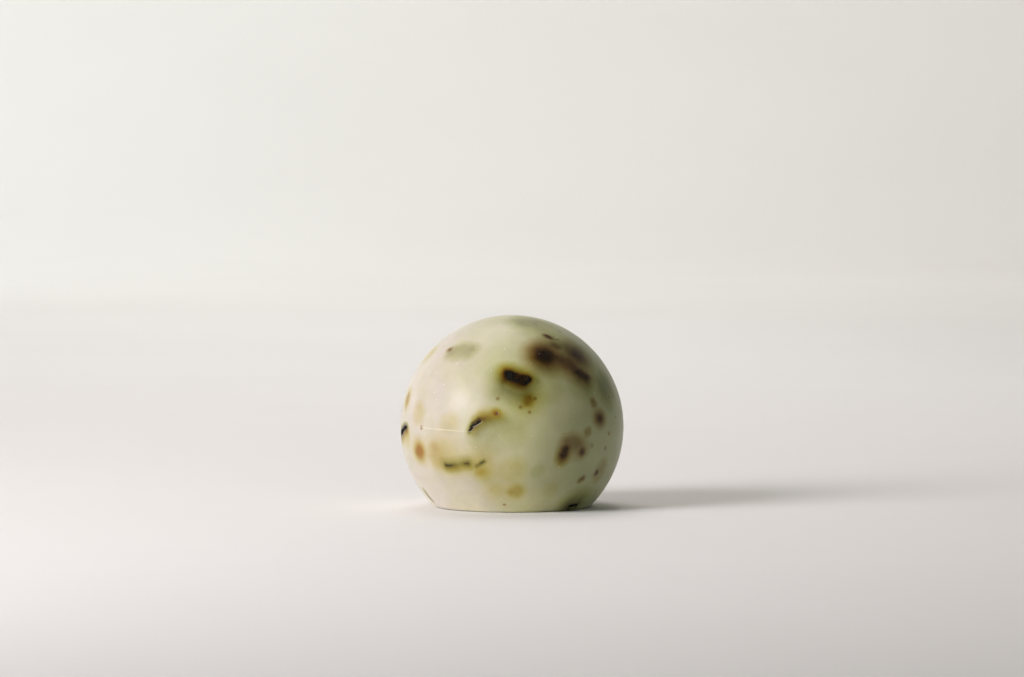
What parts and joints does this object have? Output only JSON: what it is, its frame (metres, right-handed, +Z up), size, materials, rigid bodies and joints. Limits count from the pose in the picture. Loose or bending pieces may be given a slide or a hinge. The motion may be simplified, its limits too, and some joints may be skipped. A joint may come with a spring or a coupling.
{
  "type": "moulded herb soap ball",
  "caption": "Ball of translucent pale green soap with a mould seam and dried herbs cast into it, cut flat underneath to stand.",
  "frame": {"origin": "centre of the flat foot that the ball stands on", "axes": "+Z up through the middle of the ball, -Y towards the front with the bent black leaf, +X to the right seen from the front"},
  "size_m": [0.0601, 0.0602, 0.0515],
  "materials": {
    "soap": "smooth translucent pale green soap with a soft waxy gloss",
    "dried_leaf": "dry crumpled dark green leaf, nearly black",
    "dried_stem": "dry fibrous grey-brown twig",
    "amber_petal": "thin dried amber petal",
    "brown_husk": "dark red-brown bud and husk",
    "dark_seed": "hard dark brown seed and crumb"
  },
  "bodies": {
    "root": {"back_bud": "brown_husk", "back_crown_leaf": "dried_leaf", "back_crumbs": "dark_seed", "back_curled_leaf": "dried_leaf", "back_husk": "brown_husk", "back_leaf": "dried_leaf", "back_low_bud": "brown_husk", "back_low_leaf": "dried_leaf", "back_petal": "amber_petal", "back_short_stem": "dried_stem", "back_side_petal": "amber_petal", "back_stem": "dried_stem", "bud_link_husk": "brown_husk", "core_leaf": "dried_leaf", "crown_leaf": "dried_leaf", "curl_petal": "amber_petal", "curled_leaf": "dried_leaf", "foot_leaf": "dried_leaf", "foot_petal": "amber_petal", "front_crumbs": "dark_seed", "front_leaf": "dried_leaf", "front_petal": "amber_petal", "front_stem": "dried_stem", "front_stem_tip": "dried_stem", "husk_bridge": "brown_husk", "left_cheek_petal": "amber_petal", "left_edge_petal": "amber_petal", "left_foot_stem": "dried_stem", "left_middle_petal": "amber_petal", "left_side_leaf": "dried_leaf", "left_side_petal": "amber_petal", "left_upper_petal": "amber_petal", "low_front_leaf": "dried_leaf", "low_front_petal": "amber_petal", "low_right_petal": "amber_petal", "lower_right_husk": "brown_husk", "lower_right_seed": "dark_seed", "right_bud": "brown_husk", "right_bud_scale": "brown_husk", "right_foot_sliver": "dried_stem", "right_husk": "brown_husk", "right_husk_chip": "brown_husk", "right_husk_tip": "brown_husk", "right_seed": "dark_seed", "right_shoulder_leaf": "dried_leaf", "right_side_petal": "amber_petal", "right_upper_husk": "brown_husk", "ring_seed": "dark_seed", "slit_seed": "dark_seed", "soap_body": "soap", "stem_petal": "amber_petal", "tan_petal": "amber_petal", "underside_leaf": "dried_leaf", "upper_bud": "brown_husk", "upper_bud_scale": "brown_husk", "upper_edge_petal": "amber_petal", "upper_left_leaf": "dried_leaf", "upper_left_seed": "dark_seed", "veiled_leaf": "dried_leaf"}
  },
  "joints": []
}
